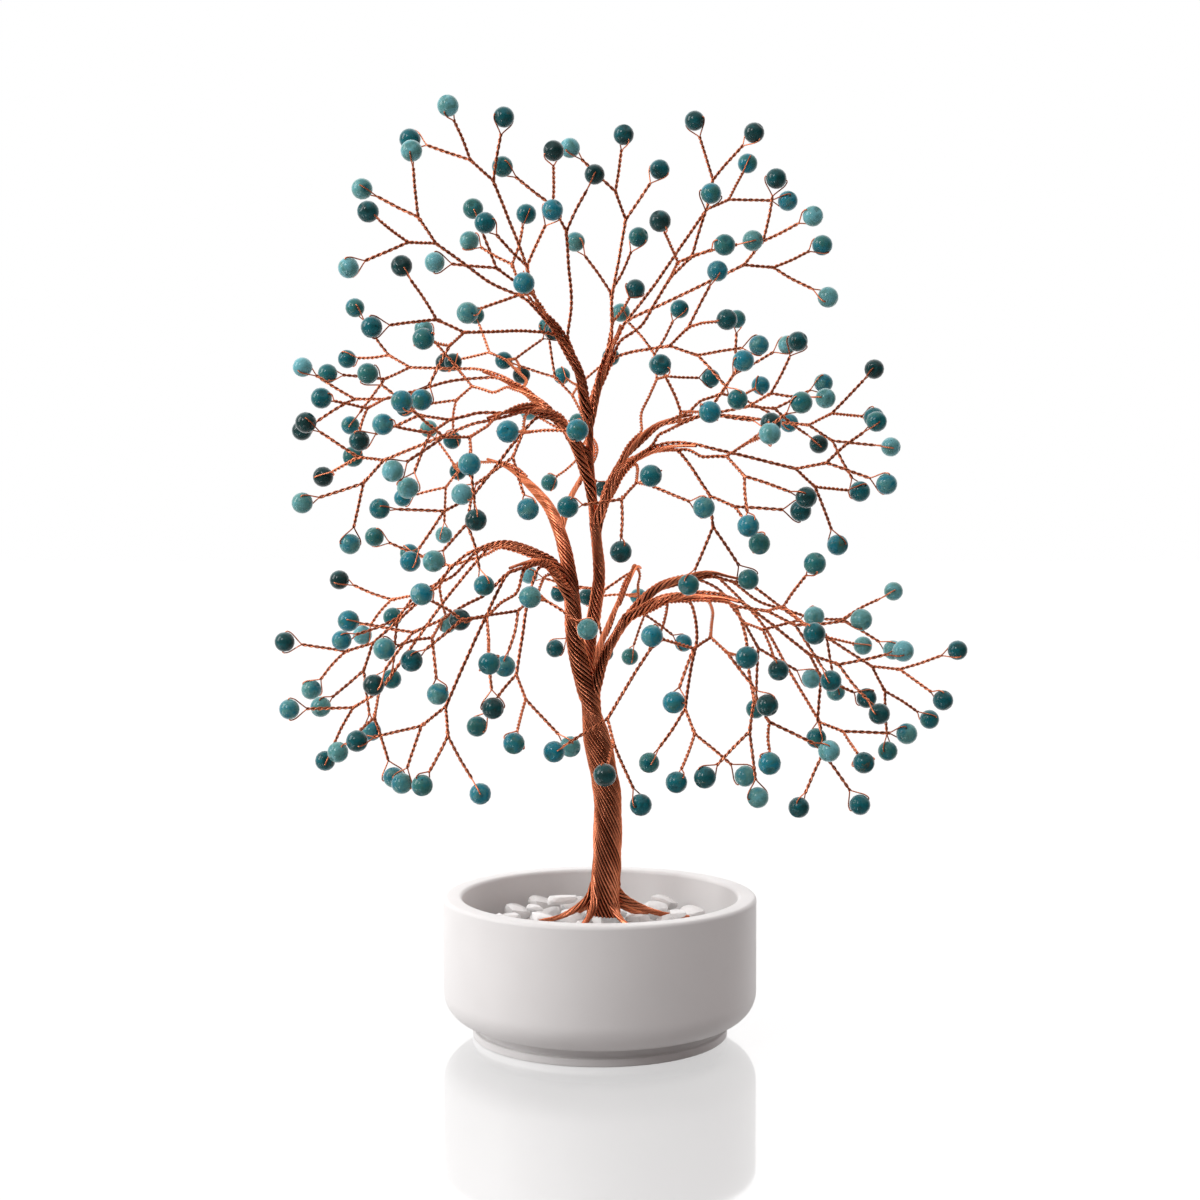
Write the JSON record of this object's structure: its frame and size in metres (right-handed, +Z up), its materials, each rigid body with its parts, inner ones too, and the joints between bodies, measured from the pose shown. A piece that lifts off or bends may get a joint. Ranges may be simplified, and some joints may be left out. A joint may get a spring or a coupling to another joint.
{
  "type": "wire tree sculpture",
  "caption": "Twisted copper wire tree with round stone beads on its wire sprays, rooted on stone chips in a round white bowl.",
  "frame": {"origin": "centre of the bowl's flat underside", "axes": "+Z up along the bowl's axis and the trunk; the picture looks along +Y, with +X to the right"},
  "size_m": [0.2035, 0.1679, 0.2699],
  "materials": {
    "white_ceramic": "matte white glazed ceramic",
    "quartz": "broken white quartz, opaque to milky",
    "copper": "bare bright copper wire",
    "stone_beads": "polished mottled teal stone, opaque"
  },
  "bodies": {
    "root": {"bowl": "white_ceramic", "chip_bed": "quartz", "loose_chip_1": "quartz", "loose_chip_2": "quartz", "loose_chip_3": "quartz", "spray_01": "stone_beads", "spray_02": "stone_beads", "spray_03": "stone_beads", "spray_04": "stone_beads", "spray_05": "stone_beads", "spray_06": "stone_beads", "spray_07": "stone_beads", "spray_08": "stone_beads", "spray_09": "stone_beads", "spray_10": "stone_beads", "spray_11": "stone_beads", "spray_12": "stone_beads", "spray_13": "stone_beads", "spray_14": "stone_beads", "spray_15": "stone_beads", "spray_16": "stone_beads", "spray_17": "stone_beads", "spray_18": "stone_beads", "spray_19": "stone_beads", "spray_20": "stone_beads", "spray_21": "stone_beads", "spray_22": "stone_beads", "spray_23": "stone_beads", "spray_24": "stone_beads", "spray_25": "stone_beads", "spray_26": "stone_beads", "spray_27": "stone_beads", "spray_28": "stone_beads", "spray_29": "stone_beads", "spray_30": "stone_beads", "spray_31": "stone_beads", "spray_32": "stone_beads", "spray_33": "stone_beads", "spray_34": "stone_beads", "spray_35": "stone_beads", "spray_36": "stone_beads", "spray_37": "stone_beads", "spray_38": "stone_beads", "spray_39": "stone_beads", "spray_40": "stone_beads", "spray_41": "stone_beads", "spray_42": "stone_beads", "spray_43": "stone_beads", "spray_44": "stone_beads", "spray_45": "stone_beads", "spray_46": "stone_beads", "spray_47": "stone_beads", "spray_48": "stone_beads", "spray_49": "stone_beads", "spray_50": "stone_beads", "spray_51": "stone_beads", "spray_52": "stone_beads", "spray_53": "stone_beads", "spray_54": "stone_beads", "trunk": "copper"}
  },
  "joints": []
}
